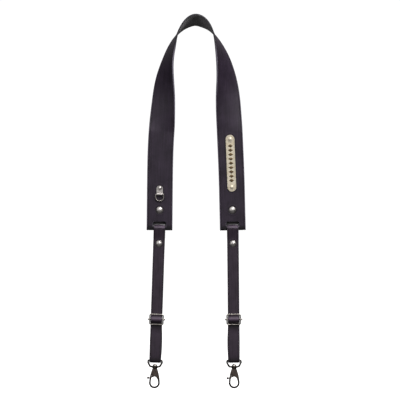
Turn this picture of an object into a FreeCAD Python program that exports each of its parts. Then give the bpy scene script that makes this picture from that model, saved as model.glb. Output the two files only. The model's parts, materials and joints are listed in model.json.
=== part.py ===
"""Leather neck strap for a saxophone, with two adjustable drop straps and snap hooks.

Millimetres. +X is the viewer's right, +Y points away from the viewer and +Z is up. The origin is where the wearer's neck bears, at the top of the loop on
the flesh side of the neck band.

The neck band is one wide strip of leather. It stands on edge over the neck and
twists through a quarter turn and more on each side, so that both ends hang flat.
Each end folds back on itself, and a drop strap is looped through a slot there.
A drop strap runs down through a slider, round the loop of a snap hook, and back
up to the slider's middle pin, so that moving the slider sets the length.
"""
import FreeCAD, Part
import math
import os

from FreeCAD import Placement, Rotation
from FreeCAD import Vector as V

# ---- Driving dimensions -------------------------------------------------------

# Neck band.
BAND_WIDTH = 40.0
BAND_THICK = 2.5
FOLD_GAP = 0.2            # between the two layers where the band's end is folded back
TAIL_LENGTH = 46.0        # how far the folded end reaches up behind, from the bar's centre
BAR_HALF_HEIGHT = 2.5     # the strip of band left below the slot, which the drop strap hangs on
SLOT_HEIGHT = 8.5
SLOT_WIDTH = 20.8
REAR_SLOT_HEIGHT = 3.9    # in the layer that is folded back, the slot is lower and
REAR_SLOT_WIDTH = 19.2    # narrower, just round the strap

# Centreline of the band from the left leg, over the crown, to the right leg: x, z, and
# the turn of the section in degrees. 0 lies flat to the viewer and 90 is on edge.
BAND_ROUTE = [
    (-55.5, -206.0, 0.0),
    (-52.5, -172.0, 0.0),
    (-51.3, -152.0, 13.0),
    (-49.5, -122.0, 28.0),
    (-47.5, -90.0, 46.0),
    (-42.4, -60.0, 65.0),
    (-35.4, -37.0, 76.0),
    (-29.4, -23.0, 86.0),
    (-21.4, -11.8, 95.0),
    (-11.0, -2.8, 105.0),
    (0.0, 1.3, 110.0),
    (11.4, -2.4, 107.0),
    (22.0, -11.2, 96.0),
    (29.5, -22.2, 86.0),
    (35.8, -37.0, 74.0),
    (42.8, -60.0, 58.0),
    (48.2, -90.0, 40.0),
    (50.5, -122.0, 20.0),
    (52.0, -152.0, 8.0),
    (53.0, -172.0, 0.0),
    (53.8, -206.0, 0.0),
]

# Drop strap.
STRAP_WIDTH = 18.0
STRAP_THICK = 2.0
SKIVED_THICK = 1.8        # the thinned end that wraps the slider's pin
LAYER_OFFSET = 1.05       # centre of either layer from the middle of a double layer
LOOP_RADIUS = 5.1         # of the strap's middle, round the band's bar
STRAP_RIVET_Z = -23.2     # from the bar's centre
STRAP_TOP_END = -34.0
STRAP_TAIL_END = -32.0

# Slider: a wire frame with a middle pin.
SLIDER_Z = -140.5         # from the bar's centre, as worn in the middle of its travel
SLIDER_Y = -3.25
SLIDER_WIDTH = 22.6
SLIDER_HEIGHT = 17.5
SLIDER_WIRE = 1.0
SLIDER_CORNER = 2.2
PIN_RADIUS = 1.0
PIN_LENGTH = 27.3
BALL_RADIUS = 1.4
BOSS_RADIUS = 1.8
END_RIVET_DROP = 17.0     # below the slider's middle
END_LENGTH = 24.0         # of the riveted end, below the slider's middle

# Hook loop and snap hook, from the middle of the bar that the strap turns round.
HOOK_BAR_Z = -204.3       # from the band's bar
LOOP_WIRE = 1.4
LOOP_WIDTH = 24.8
LOOP_HEIGHT = 12.6
BEND_CLEARANCE = 0.3      # between the hook's bar and the strap that turns round it
HOOK_THICK = 3.8
HOOK_CENTRE_Z = -34.9     # centre of the round bottom of the hook
HOOK_OUTER = 8.4
HOOK_INNER = 5.6
GATE_PIVOT = (-4.6, -24.0)
GATE_REACH = 9.8
GATE_GAP = 0.3
HUB_RADIUS = 2.1
CHEEK_RADIUS = 2.6
FORK_HALF = 0.95          # half the gap between the two cheeks that hold the gate
HUB_HALF = 0.8

# The two legs: x of the bar, and lean of the band's end and of the drop strap in
# degrees. A positive lean swings the lower end towards -X.
LEGS = {
    "left": {"bar_x": -55.8, "band_lean": 0.6, "strap_lean": 1.9},
    "right": {"bar_x": 57.9, "band_lean": -1.3, "strap_lean": -0.5},
}
BAR_Z = -322.5
BAR_Y = (BAND_THICK + FOLD_GAP) / 2
FLAT_END = 60.0           # above the bar's centre, where the leg becomes straight

# Small fittings on the band.
PLATE_LENGTH = 88.0
PLATE_WIDTH = 13.6
PLATE_THICK = 1.4
PLATE_CENTRE = (54.9, -221.0)
PLATE_LEAN = -2.2
PLATE_RIVET_PITCH = 74.0
TAB_WIDTH = 9.8
TAB_THICK = 1.0
RING_BAR = (-55.4, -269.2)
RING_WIRE = 0.85
RING_WIDTH = 13.8
RING_DROP = 10.7
CURL_RADIUS = 1.8         # of the tab's curl round the ring's bar
RING_GAP = 0.1            # between the curl and the band, and between the curl and the ring

PARTS_FOLDER = "parts"


# ---- Helpers ------------------------------------------------------------------

def save(node, *solids):
    """Write one node as STEP, as one solid or as a group of them."""
    shape = solids[0] if len(solids) == 1 else Part.makeCompound(list(solids))
    shape.exportStep(os.path.join(PARTS_FOLDER, node + ".step"))


def placed(shape, frame):
    """A copy of the shape moved from a local frame to the row's frame."""
    copy = shape.copy()
    copy.Placement = frame.multiply(copy.Placement)
    return copy


def cylinder(radius, start, end):
    """A cylinder between two points."""
    run = end - start
    return Part.makeCylinder(radius, run.Length, start, run)


def rounded_path(points, radii, closed=False):
    """A wire of straight runs through the points, with an arc at every inner corner."""
    count = len(points)
    corners = range(count) if closed else range(1, count - 1)
    arcs = {}
    for place, index in enumerate(corners):
        corner = points[index]
        before = (points[index - 1] - corner).normalize()
        after = (points[(index + 1) % count] - corner).normalize()
        half = before.getAngle(after) / 2
        middle = (before + after).normalize()
        reach = radii[place] / math.tan(half)
        centre = corner + middle * (radii[place] / math.sin(half))
        arcs[index] = (corner + before * reach, centre - middle * radii[place], corner + after * reach)
    edges = []
    last = arcs[count - 1][2] if closed else points[0]
    for index in corners:
        begin, bulge, end = arcs[index]
        if (begin - last).Length > 1e-6:
            edges.append(Part.LineSegment(last, begin).toShape())
        edges.append(Part.Arc(begin, bulge, end).toShape())
        last = end
    if not closed and (points[-1] - last).Length > 1e-6:
        edges.append(Part.LineSegment(last, points[-1]).toShape())
    return Part.Wire(edges)


def ribbon(points, radii, thick, width):
    """A flat strap whose middle follows a route in the YZ plane, centred on x = 0."""
    route = [V(0, y, z) for y, z in points]
    path = rounded_path(route, radii) if radii else Part.makePolygon(route)
    along = (route[1] - route[0]).normalize()
    across = V(1, 0, 0).cross(along)
    side = V(width / 2, 0, 0)
    half = across * (thick / 2)
    start = route[0]
    corners = [start - side - half, start + side - half, start + side + half, start - side + half]
    section = Part.makePolygon(corners + corners[:1])
    return path.makePipeShell([section], True, False)


def wire_loop(points, radii, wire_radius):
    """A closed loop of round wire in the XZ plane."""
    path = rounded_path([V(x, 0, z) for x, z in points], radii, closed=True)
    start = path.Edges[0].valueAt(path.Edges[0].FirstParameter)
    along = path.Edges[0].tangentAt(path.Edges[0].FirstParameter)
    section = Part.Wire(Part.makeCircle(wire_radius, start, along))
    return Part.Wire(path).makePipe(Part.Face(section))


def turned(outline):
    """Turn a closed outline of (radius, y) points round the Y axis."""
    points = [V(radius, y, 0) for radius, y in outline]
    face = Part.Face(Part.makePolygon(points + points[:1]))
    return face.revolve(V(0, 0, 0), V(0, 1, 0), 360)


def dome(radius, height):
    """A shallow dome on the plane y = 0, bulging towards -Y."""
    ball = (radius * radius + height * height) / (2 * height)
    sphere = Part.makeSphere(ball, V(0, ball - height, 0))
    keep = Part.makeBox(4 * ball, height, 4 * ball, V(-2 * ball, -height, -2 * ball))
    return sphere.common(keep)


def rivet(grip, cap_radius, cap_height, foot_radius, foot_thick):
    """A two-part rivet through leather from y = 0 (front) to y = grip (back).

    The cap's tube and the post's stem meet inside the leather, and the stem's end
    is spread inside the dome.
    """
    tube_outer = 1.5
    tube_inner = 1.0
    tube_end = grip * 0.55
    pocket = cap_height * 0.45
    cap = dome(cap_radius, cap_height).fuse(cylinder(tube_outer, V(0, -0.2, 0), V(0, tube_end, 0)))
    cap = cap.cut(cylinder(tube_inner, V(0, -pocket, 0), V(0, tube_end + 1, 0))).removeSplitter()
    stem = cylinder(tube_inner - 0.02, V(0, -pocket + 0.02, 0), V(0, grip, 0))
    collar = cylinder(tube_outer, V(0, tube_end + 0.05, 0), V(0, grip, 0))
    foot = turned([(0, grip), (foot_radius, grip), (foot_radius, grip + foot_thick * 0.5),
                   (foot_radius * 0.9, grip + foot_thick), (0, grip + foot_thick)])
    post = foot.fuse([stem, collar]).removeSplitter()
    return cap, post


def rivet_hole(grip):
    """The hole a rivet needs through its leather."""
    return cylinder(1.53, V(0, -1, 0), V(0, grip + 1, 0))


# ---- Neck band ----------------------------------------------------------------

def end_frame(leg):
    """The frame at the bar of a band's end: x across the band, z up the leg."""
    return Placement(V(leg["bar_x"], BAR_Y, BAR_Z), Rotation(V(0, 1, 0), leg["band_lean"]))


def strap_frame(leg):
    """The frame at the same bar, aligned with the drop strap that hangs from it."""
    return Placement(V(leg["bar_x"], BAR_Y, BAR_Z), Rotation(V(0, 1, 0), leg["strap_lean"]))


def twisted_band():
    """The part of the band that twists, as a loft between the two flat legs."""
    points = [V(x, 0, z) for x, z, turn in BAND_ROUTE]
    turns = [turn for x, z, turn in BAND_ROUTE]
    route = Part.BSplineCurve()
    route.interpolate(points)
    stations = [route.parameter(point) for point in points]
    turn_curve = Part.BSplineCurve()
    turn_points = [V(turn, place, 0) for place, turn in enumerate(turns)]
    turn_curve.interpolate(Points=turn_points, Parameters=stations)
    first = stations[1]
    last = stations[-2]
    count = 56
    sections = []
    for index in range(count + 1):
        station = first + (last - first) * index / count
        centre = route.value(station)
        along = route.tangent(station)[0]
        outward = V(-along.z, 0, along.x)
        turn = math.radians(turn_curve.value(station).x)
        if index in (0, count):
            turn = 0.0
        across = outward * -math.cos(turn) + V(0, -math.sin(turn), 0)
        grain = outward * math.sin(turn) + V(0, -math.cos(turn), 0)
        side = across * (BAND_WIDTH / 2)
        face = grain * (BAND_THICK / 2)
        corners = [centre - side - face, centre + side - face, centre + side + face, centre - side + face]
        sections.append(Part.makePolygon(corners + corners[:1]))
    ends = {"left": (route.value(first), sections[0]), "right": (route.value(last), sections[-1])}
    return Part.makeLoft(sections, True, False), ends


def flat_leg(name, end_section):
    """The flat stretch of one leg, from the end of the twist to the straight end."""
    leg = LEGS[name]
    frame = end_frame(leg)
    half = BAND_WIDTH / 2
    low = [frame.multVec(V(-half, 0, FLAT_END)), frame.multVec(V(half, 0, FLAT_END))]
    low = [V(point.x, 0, point.z) for point in low]
    upper = sorted([v.Point for v in end_section.Vertexes if v.Point.y < 0], key=lambda p: p.x)
    upper = [V(point.x, 0, point.z) for point in (upper[0], upper[-1])]
    lean_down = math.radians(leg["band_lean"])
    down = V(-math.sin(lean_down), 0, -math.cos(lean_down))
    across = (upper[1] - upper[0]).normalize()
    down_top = V(across.z, 0, -across.x)
    edges = []
    for top, bottom in zip(upper, low):
        curve = Part.BSplineCurve()
        curve.interpolate(Points=[top, bottom], InitialTangent=down_top * 70, FinalTangent=down * 70)
        edges.append(curve.toShape())
    edges.append(Part.LineSegment(upper[0], upper[1]).toShape())
    edges.append(Part.LineSegment(low[0], low[1]).toShape())
    face = Part.Face(Part.Wire(Part.__sortEdges__(edges)))
    face.translate(V(0, -BAND_THICK / 2, 0))
    return face.extrude(V(0, BAND_THICK, 0))


def slot_punch(width, height, front, back):
    """A round-cornered punch for a slot that starts at the bar's upper edge."""
    x = width / 2
    low = BAR_HALF_HEIGHT
    high = BAR_HALF_HEIGHT + height
    corners = [V(-x, front, low), V(x, front, low), V(x, front, high), V(-x, front, high)]
    outline = rounded_path(corners, [height / 3] * 4, closed=True)
    return Part.Face(outline).extrude(V(0, back - front, 0))


def folded_end():
    """The folded end of the band in its own frame, with a slot cut through each layer."""
    half_gap = FOLD_GAP / 2
    outer = BAND_THICK + half_gap
    fold_z = -BAR_HALF_HEIGHT + outer
    half = BAND_WIDTH / 2
    front = Part.makeBox(BAND_WIDTH, BAND_THICK, FLAT_END - fold_z, V(-half, -outer, fold_z))
    back = Part.makeBox(BAND_WIDTH, BAND_THICK, TAIL_LENGTH - fold_z, V(-half, half_gap, fold_z))
    start = V(-half, 0, fold_z)
    end = V(half, 0, fold_z)
    turn = cylinder(outer, start, end).cut(cylinder(half_gap, start, end))
    turn = turn.common(Part.makeBox(BAND_WIDTH, 2 * outer, outer, V(-half, -outer, fold_z - outer)))
    body = front.fuse([back, turn]).removeSplitter()
    body = body.cut(slot_punch(SLOT_WIDTH, SLOT_HEIGHT, -2 * outer, 0))
    return body.cut(slot_punch(REAR_SLOT_WIDTH, REAR_SLOT_HEIGHT, 0, 2 * outer))


# Rivets that go through the band, each as a frame on the band's front face.
BAND_RIVET_UP = 28.8      # above the bar's centre
BAND_FRONT = -BAND_THICK / 2


def band_rivet_frame(leg):
    offset = V(0, -(BAND_THICK + FOLD_GAP / 2), BAND_RIVET_UP)
    return end_frame(leg).multiply(Placement(offset, Rotation()))


def plate_frame():
    return Placement(V(PLATE_CENTRE[0], BAND_FRONT, PLATE_CENTRE[1]), Rotation(V(0, 1, 0), PLATE_LEAN))


def plate_rivet_frames():
    shifts = [V(0, -PLATE_THICK, sign * PLATE_RIVET_PITCH / 2) for sign in (-1, 1)]
    return [plate_frame().multiply(Placement(shift, Rotation())) for shift in shifts]


def tab_rivet_frame():
    return Placement(V(RING_BAR[0], BAND_FRONT - TAB_THICK, RING_BAR[1] + 9.4), Rotation())


def neck_band():
    twist, ends = twisted_band()
    band = twist
    for name, leg in LEGS.items():
        band = band.fuse(flat_leg(name, ends[name][1]))
        band = band.fuse(placed(folded_end(), end_frame(leg)))
        band = band.cut(placed(rivet_hole(2 * BAND_THICK + FOLD_GAP), band_rivet_frame(leg)))
    for frame in plate_rivet_frames():
        band = band.cut(placed(rivet_hole(PLATE_THICK + BAND_THICK), frame))
    band = band.cut(placed(rivet_hole(TAB_THICK + BAND_THICK), tab_rivet_frame()))
    return band.removeSplitter()


# ---- Fittings on the band ------------------------------------------------------

def name_plate():
    """A round-ended plate with a raised rim, in its own frame with its back on y = 0."""
    rim = 1.1
    recess = 0.35

    def stadium(radius, length, front, back):
        run = length / 2 - radius
        block = Part.makeBox(2 * radius, back - front, 2 * run, V(-radius, front, -run))
        ends = [cylinder(radius, V(0, front, z), V(0, back, z)) for z in (-run, run)]
        return block.fuse(ends).removeSplitter()

    body = stadium(PLATE_WIDTH / 2, PLATE_LENGTH, -PLATE_THICK, 0)
    body = body.makeChamfer(0.3, [e for e in body.Edges if e.BoundBox.YMax < -PLATE_THICK + 0.01])
    ground = stadium(PLATE_WIDTH / 2 - rim, PLATE_LENGTH - 2 * rim, -PLATE_THICK - 1, -PLATE_THICK + recess)
    body = body.cut(ground)
    for z in (-PLATE_RIVET_PITCH / 2, PLATE_RIVET_PITCH / 2):
        pad = cylinder(4.6, V(0, -PLATE_THICK, z), V(0, -0.5, z))
        body = body.fuse(pad).cut(cylinder(1.53, V(0, -3, z), V(0, 1, z)))
    return body.removeSplitter()


def ring_bar():
    """The middle of the ring's straight bar, in the tab's curl."""
    return V(RING_BAR[0], BAND_FRONT - RING_GAP - CURL_RADIUS, RING_BAR[1])


def accessory_tab():
    """A metal tab riveted to the band, curled at its lower end round the ring's bar."""
    bar = ring_bar()
    half = TAB_WIDTH / 2
    top = 13.5
    plate_low = 0.6
    plate = Part.makeBox(TAB_WIDTH, TAB_THICK, top - half - plate_low,
                         V(bar.x - half, BAND_FRONT - TAB_THICK, bar.z + plate_low))
    head = cylinder(half, V(bar.x, BAND_FRONT - TAB_THICK, bar.z + top - half),
                    V(bar.x, BAND_FRONT, bar.z + top - half))
    curl = cylinder(CURL_RADIUS, bar - V(half, 0, 0), bar + V(half, 0, 0))
    body = plate.fuse([head, curl])
    body = body.cut(cylinder(RING_WIRE + RING_GAP, bar - V(half + 1, 0, 0), bar + V(half + 1, 0, 0)))
    hole = placed(cylinder(1.53, V(0, -3, 0), V(0, 3, 0)), tab_rivet_frame())
    return body.cut(hole).removeSplitter()


def accessory_ring():
    """A D-shaped ring hanging in the tab's curl."""
    half = RING_WIDTH / 2 - RING_WIRE
    low = -(RING_DROP - RING_WIRE)
    points = [(-half, 0), (half, 0), (half, low), (-half, low)]
    ring = wire_loop(points, [1.3, 1.3, half - 1.2, half - 1.2], RING_WIRE)
    return placed(ring, Placement(ring_bar(), Rotation()))


# ---- Drop strap, in its own frame at the band's bar ----------------------------

def strap_top():
    """The loop round the band's bar, closed by a rivet."""
    r = LOOP_RADIUS
    y = LAYER_OFFSET
    join = -17.0
    points = [(y, STRAP_TAIL_END), (y, join), (r, 0), (r, r), (-r, r), (-r, 0), (-y, join), (-y, STRAP_TOP_END)]
    # The straight flanks meet the half circle with a slight bend, rounded widely.
    loop = ribbon(points, [14, 10, r * 0.999, r * 0.999, 10, 14], STRAP_THICK, STRAP_WIDTH)
    return loop.cut(placed(rivet_hole(2 * STRAP_THICK + 0.2), strap_rivet_frame()))


def strap_rivet_frame():
    return Placement(V(0, -LAYER_OFFSET - STRAP_THICK / 2, STRAP_RIVET_Z), Rotation())


def strap_run():
    """The single run from the loop down to the slider."""
    y = -LAYER_OFFSET
    return ribbon([(y, STRAP_TOP_END - 0.1), (y, SLIDER_Z + 11.1)], None, STRAP_THICK, STRAP_WIDTH)


BAR_REACH = 2.2           # from a slider bar's middle to the middle of the strap round it
PIN_REACH = 4.0           # from the pin's middle to the middle of the strap over it and its wrap


def slide_geometry():
    """The strap's slope between the slider's bars and its pin, and the corners of its wave."""
    bar_reach = BAR_REACH
    pin_reach = PIN_REACH
    pitch = (SLIDER_HEIGHT - 2 * SLIDER_WIRE) / 2
    rise = (bar_reach + pin_reach) / pitch
    lean = math.sqrt(1 - rise * rise)
    touch = (SLIDER_Y + bar_reach * lean, pitch - bar_reach * rise)
    slope = lean / rise
    rear = -LAYER_OFFSET
    front = SLIDER_Y - pin_reach
    rear_z = touch[1] + (rear - touch[0]) * slope
    front_z = touch[1] + (front - touch[0]) * slope
    return rise, lean, rear_z, front_z, front


def strap_weave():
    """The strap behind the frame's upper bar, over the pin, and behind the lower bar."""
    rise, lean, rear_z, front_z, front = slide_geometry()
    rear = -LAYER_OFFSET
    z = SLIDER_Z
    points = [(rear, z + 11), (rear, z + rear_z), (front, z + front_z),
              (front, z - front_z), (rear, z - rear_z), (rear, z - 11)]
    return ribbon(points, [BAR_REACH, PIN_REACH, PIN_REACH, BAR_REACH], STRAP_THICK, STRAP_WIDTH)


END_FRONT = 2.05          # y of the rising layer behind the slider
END_BACK = 4.1            # y of the riveted end behind that


def strap_end():
    """The thinned end of the strap, round the slider's pin and back on itself."""
    rise, lean = slide_geometry()[:2]
    wrap = 2.0
    z = SLIDER_Z
    y = SLIDER_Y
    ahead = V(0, rise, -lean)         # the slanting direction, down towards the back
    away = V(0, -lean, -rise)         # square to it, towards the front
    pin = V(0, y, z)
    upper = pin - away * wrap
    lower = pin + away * wrap
    first = upper - ahead * wrap
    second = lower - ahead * wrap
    back_corner = upper + ahead * ((END_BACK - upper.y) / ahead.y)
    front_corner = lower + ahead * ((END_FRONT - lower.y) / ahead.y)
    points = [(END_BACK, z - END_LENGTH), (back_corner.y, back_corner.z), (first.y, first.z),
              (second.y, second.z), (front_corner.y, front_corner.z), (END_FRONT, z - END_LENGTH)]
    end = ribbon(points, [2.5, wrap * 0.999, wrap * 0.999, 4.0], SKIVED_THICK, STRAP_WIDTH)
    return end.cut(placed(rivet_hole(4.0), end_rivet_frame()))


def end_rivet_frame():
    """The small rivet behind the slider, with its dome at the back."""
    place = V(0, END_BACK + SKIVED_THICK / 2, SLIDER_Z - END_RIVET_DROP)
    return Placement(place, Rotation(V(0, 0, 1), 180))


def bend_radius():
    """Radius of the strap's middle where it turns round the hook's bar."""
    return LOOP_WIRE + BEND_CLEARANCE + STRAP_THICK / 2


def strap_fold():
    """The turn of the strap round the hook's bar."""
    r = bend_radius()
    z = HOOK_BAR_Z
    points = [(-r, z + 6), (-r, z - r), (r, z - r), (r, z + 6)]
    return ribbon(points, [r * 0.999, r * 0.999], STRAP_THICK, STRAP_WIDTH)


def strap_front_run():
    r = bend_radius()
    top = SLIDER_Z - 11.2
    low = HOOK_BAR_Z + 6.2
    points = [(-LAYER_OFFSET, top), (-LAYER_OFFSET, top - 10), (-r, low + 8), (-r, low)]
    return ribbon(points, [30, 30], STRAP_THICK, STRAP_WIDTH)


def strap_back_run():
    r = bend_radius()
    top = SLIDER_Z - END_LENGTH - 0.2
    low = HOOK_BAR_Z + 6.2
    points = [(END_FRONT, top), (END_FRONT, top - 8), (r, low + 8), (r, low)]
    return ribbon(points, [30, 30], STRAP_THICK, STRAP_WIDTH)


# ---- Slider ---------------------------------------------------------------------

def slider_frame():
    """A rounded rectangle of wire with a boss on each side that holds the pin."""
    x = SLIDER_WIDTH / 2 - SLIDER_WIRE
    z = SLIDER_HEIGHT / 2 - SLIDER_WIRE
    frame = wire_loop([(-x, -z), (x, -z), (x, z), (-x, z)], [SLIDER_CORNER] * 4, SLIDER_WIRE)
    bosses = [cylinder(BOSS_RADIUS, V(side * (x - 0.9), 0, 0), V(side * (x + 0.93), 0, 0)) for side in (-1, 1)]
    frame = frame.fuse(bosses).cut(cylinder(PIN_RADIUS, V(-20, 0, 0), V(20, 0, 0))).removeSplitter()
    return placed(frame, Placement(V(0, SLIDER_Y, SLIDER_Z), Rotation()))


def slider_pin():
    """The middle pin, with a ball at each end."""
    reach = PIN_LENGTH / 2 - BALL_RADIUS
    pin = cylinder(PIN_RADIUS - 0.02, V(-reach, 0, 0), V(reach, 0, 0))
    balls = [Part.makeSphere(BALL_RADIUS, V(side * reach, 0, 0)) for side in (-1, 1)]
    pin = pin.fuse(balls).removeSplitter()
    return placed(pin, Placement(V(0, SLIDER_Y, SLIDER_Z), Rotation()))


# ---- Hook -----------------------------------------------------------------------

COLLAR_TOP = -8.2
COLLAR_LOW = -12.4
STUD_RADIUS = 1.5
STUD_HEAD_TOP = -5.2
HOOK_TOP = -12.7


def hook_loop():
    """The wire loop that the strap turns round, with the collar of the swivel."""
    x = LOOP_WIDTH / 2 - LOOP_WIRE
    low = -(LOOP_HEIGHT - 2 * LOOP_WIRE)
    points = [(-x + 0.6, 0), (x - 0.6, 0), (x, -3.2), (x - 3.6, low), (-x + 3.6, low), (-x, -3.2)]
    loop = wire_loop(points, [1.5, 1.5, 4.0, 3.6, 3.6, 4.0], LOOP_WIRE)
    outline = [(0, COLLAR_TOP), (3.4, COLLAR_TOP), (4.4, COLLAR_TOP - 1.4), (4.4, COLLAR_LOW + 1.2),
               (3.6, COLLAR_LOW), (0, COLLAR_LOW)]
    collar = placed(turned(outline), Placement(V(0, 0, 0), Rotation(V(1, 0, 0), 90)))
    return loop.fuse(collar).cut(cylinder(STUD_RADIUS + 0.08, V(0, 0, -20), V(0, 0, 0))).removeSplitter()


def swivel_stud():
    """The stud that the hook turns on, with its head above the collar."""
    head = Part.makeSphere(3.3, V(0, 0, STUD_HEAD_TOP - 3.3))
    head = head.common(Part.makeBox(8, 8, 2.8, V(-4, -4, COLLAR_TOP + 0.12)))
    stem = cylinder(STUD_RADIUS, V(0, 0, HOOK_TOP - 4.5), V(0, 0, COLLAR_TOP + 0.5))
    return head.fuse(stem).removeSplitter()


def hook_outline():
    """Outer teardrop of the hook, from its narrow top to its round bottom."""
    left = [V(-3.6, 0, HOOK_TOP), V(-6.9, 0, -23.5), V(-HOOK_OUTER, 0, HOOK_CENTRE_Z)]
    right = [V(-p.x, 0, p.z) for p in left]
    bottom = V(0, 0, HOOK_CENTRE_Z - HOOK_OUTER)
    edges = [Part.Arc(*left).toShape(), Part.Arc(left[2], bottom, right[2]).toShape(),
             Part.Arc(*right[::-1]).toShape(), Part.LineSegment(right[0], left[0]).toShape()]
    return Part.Face(Part.Wire(edges))


def hook_opening(inner):
    """Egg-shaped opening: a half circle below and a taller half ellipse above."""
    tall = 9.8
    ellipse = Part.Ellipse(V(0, 0, HOOK_CENTRE_Z + tall), V(inner, 0, HOOK_CENTRE_Z), V(0, 0, HOOK_CENTRE_Z))
    full = Part.Face(Part.Wire(ellipse.toShape()))
    upper = full.extrude(V(0, 2 * HOOK_THICK, 0))
    upper.translate(V(0, -HOOK_THICK, 0))
    disc = cylinder(inner, V(0, -HOOK_THICK, HOOK_CENTRE_Z), V(0, HOOK_THICK, HOOK_CENTRE_Z))
    big = 40
    above = Part.makeBox(big, big, big, V(-big / 2, -big / 2, HOOK_CENTRE_Z))
    below = Part.makeBox(big, big, big, V(-big / 2, -big / 2, HOOK_CENTRE_Z - big))
    return upper.common(above).fuse(disc.common(below)).removeSplitter()


def slab(face, half):
    """A face in the XZ plane thickened both ways."""
    solid = face.extrude(V(0, 2 * half, 0))
    solid.translate(V(0, -half, 0))
    return solid


def pivot_disc(radius, half):
    x, z = GATE_PIVOT
    return cylinder(radius, V(x, -half, z), V(x, half, z))


def gate_sector(half):
    """The wedge below the pivot that the gate sweeps, from outside the hook to fully open."""
    x, z = GATE_PIVOT
    far = 30
    angles = [180, 215, 250, 285, 310]
    corners = [V(x, 0, z)]
    corners += [V(x + far * math.cos(math.radians(a)), 0, z + far * math.sin(math.radians(a))) for a in angles]
    return slab(Part.Face(Part.makePolygon(corners + corners[:1])), half)


def hook_blank():
    """The whole teardrop ring before the gate is cut out of it, with its edges rounded."""
    blank = slab(hook_outline(), HOOK_THICK / 2).cut(hook_opening(HOOK_INNER)).removeSplitter()
    rims = [e for e in blank.Edges if abs(abs(e.CenterOfMass.y) - HOOK_THICK / 2) < 0.01
            and not (e.BoundBox.ZLength < 0.01 and e.BoundBox.ZMax > HOOK_TOP - 0.1)]
    return blank.makeFillet(1.1, rims)


def web_recess():
    """Shallow three-sided recess in each face of the hook's upper web."""
    points = [V(0, 0, -14.6), V(4.3, 0, -22.6), V(0, 0, -24.3), V(-4.3, 0, -22.6)]
    outline = rounded_path(points, [0.7, 0.8, 3.0, 0.8], closed=True)
    deep = Part.Face(outline)
    front = deep.extrude(V(0, 2, 0))
    front.translate(V(0, -HOOK_THICK / 2 - 2 + 0.4, 0))
    back = deep.extrude(V(0, 2, 0))
    back.translate(V(0, HOOK_THICK / 2 - 0.4, 0))
    return front.fuse(back)


def hook_body():
    """Neck, web, ring and nose of the hook, with a fork for the gate's hub."""
    sweep = gate_sector(HOOK_THICK).common(pivot_disc(GATE_REACH + GATE_GAP, HOOK_THICK))
    sweep = sweep.cut(pivot_disc(CHEEK_RADIUS, HOOK_THICK))
    body = hook_blank().cut(web_recess()).cut(sweep)
    body = body.cut(pivot_disc(CHEEK_RADIUS + 0.2, FORK_HALF))
    body = body.cut(pivot_disc(0.75, HOOK_THICK))
    body = body.cut(cylinder(STUD_RADIUS + 0.01, V(0, 0, HOOK_TOP - 4.6), V(0, 0, 0)))
    solids = sorted(body.Solids, key=lambda solid: solid.Volume)
    return solids[-1]


def gate_arm_blank():
    """The ring's left side, narrowed on its inner side, at full thickness."""
    narrow = 2.7
    inner = slab(hook_outline(), HOOK_THICK)
    inner.translate(V(narrow, 0, 0))
    return hook_blank().cut(inner)


def gate():
    """The sprung gate: hub between the cheeks, arm down the ring's left side, and thumb stud."""
    x, z = GATE_PIVOT
    half = 1.3
    arm = gate_arm_blank().common(gate_sector(half))
    arm = arm.common(pivot_disc(GATE_REACH, half)).cut(pivot_disc(CHEEK_RADIUS + 0.15, HOOK_THICK))
    arm = sorted(arm.Solids, key=lambda solid: solid.Volume)[-1]
    hub = cylinder(HUB_RADIUS, V(x, -HUB_HALF, z), V(x, 0.1, z))
    link_area = Part.Face(Part.makePolygon([V(x - 2.1, 0, z), V(x + 0.1, 0, z - 1.4), V(x - 0.2, 0, z - 3.6),
                                            V(x - 2.7, 0, z - 3.2), V(x - 2.1, 0, z)]))
    link = slab(link_area, HUB_HALF).cut(cylinder(1.55, V(x, 0.1, z), V(x, 2, z)))
    stud_z = z - 3.4
    thumb_x = x - 5.4
    neck = cylinder(0.8, V(x - 1.6, 0, stud_z), V(thumb_x + 0.2, 0, stud_z))
    thumb = Part.makeSphere(1.75, V(thumb_x, 0, stud_z))
    body = arm.fuse([hub, link, neck, thumb]).cut(pivot_disc(0.85, HOOK_THICK))
    return body.removeSplitter()


def gate_pin():
    """The gate's pin, riveted over at both cheeks."""
    x, z = GATE_PIVOT
    reach = HOOK_THICK / 2 + 0.25
    pin = cylinder(0.74, V(x, -reach + 0.05, z), V(x, reach - 0.05, z))
    heads = [cylinder(1.1, V(x, side * (HOOK_THICK / 2), z), V(x, side * reach, z)) for side in (-1, 1)]
    return pin.fuse(heads).removeSplitter()


def gate_spring():
    """A small torsion spring round the pin, beside the hub, with one leg against the web."""
    x, z = GATE_PIVOT
    wire = 0.13
    mean = 1.2
    pitch = 0.28
    turns = 2
    start_y = 0.24
    halves = []
    for index in range(2 * turns):
        side = 1 if index % 2 == 0 else -1
        start = V(side * mean, 0, index * pitch / 2)
        end = V(-side * mean, 0, (index + 1) * pitch / 2)
        axis = V(0, 1, 0).cross(end - start) * side
        section = Part.Face(Part.Wire(Part.makeCircle(wire, start, V(0, 1, 0))))
        halves.append(section.revolve((start + end) / 2, axis, 180))
    leg = cylinder(wire, V(mean, 0, 0), V(mean, -2.2, 0))
    coil = halves[0].fuse(halves[1:] + [leg])
    return placed(coil, Placement(V(x, start_y, z), Rotation(V(1, 0, 0), -90)))


def hook_frame(leg):
    return strap_frame(leg).multiply(Placement(V(0, 0, HOOK_BAR_Z), Rotation()))


# ---- Making every node ----------------------------------------------------------

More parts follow.
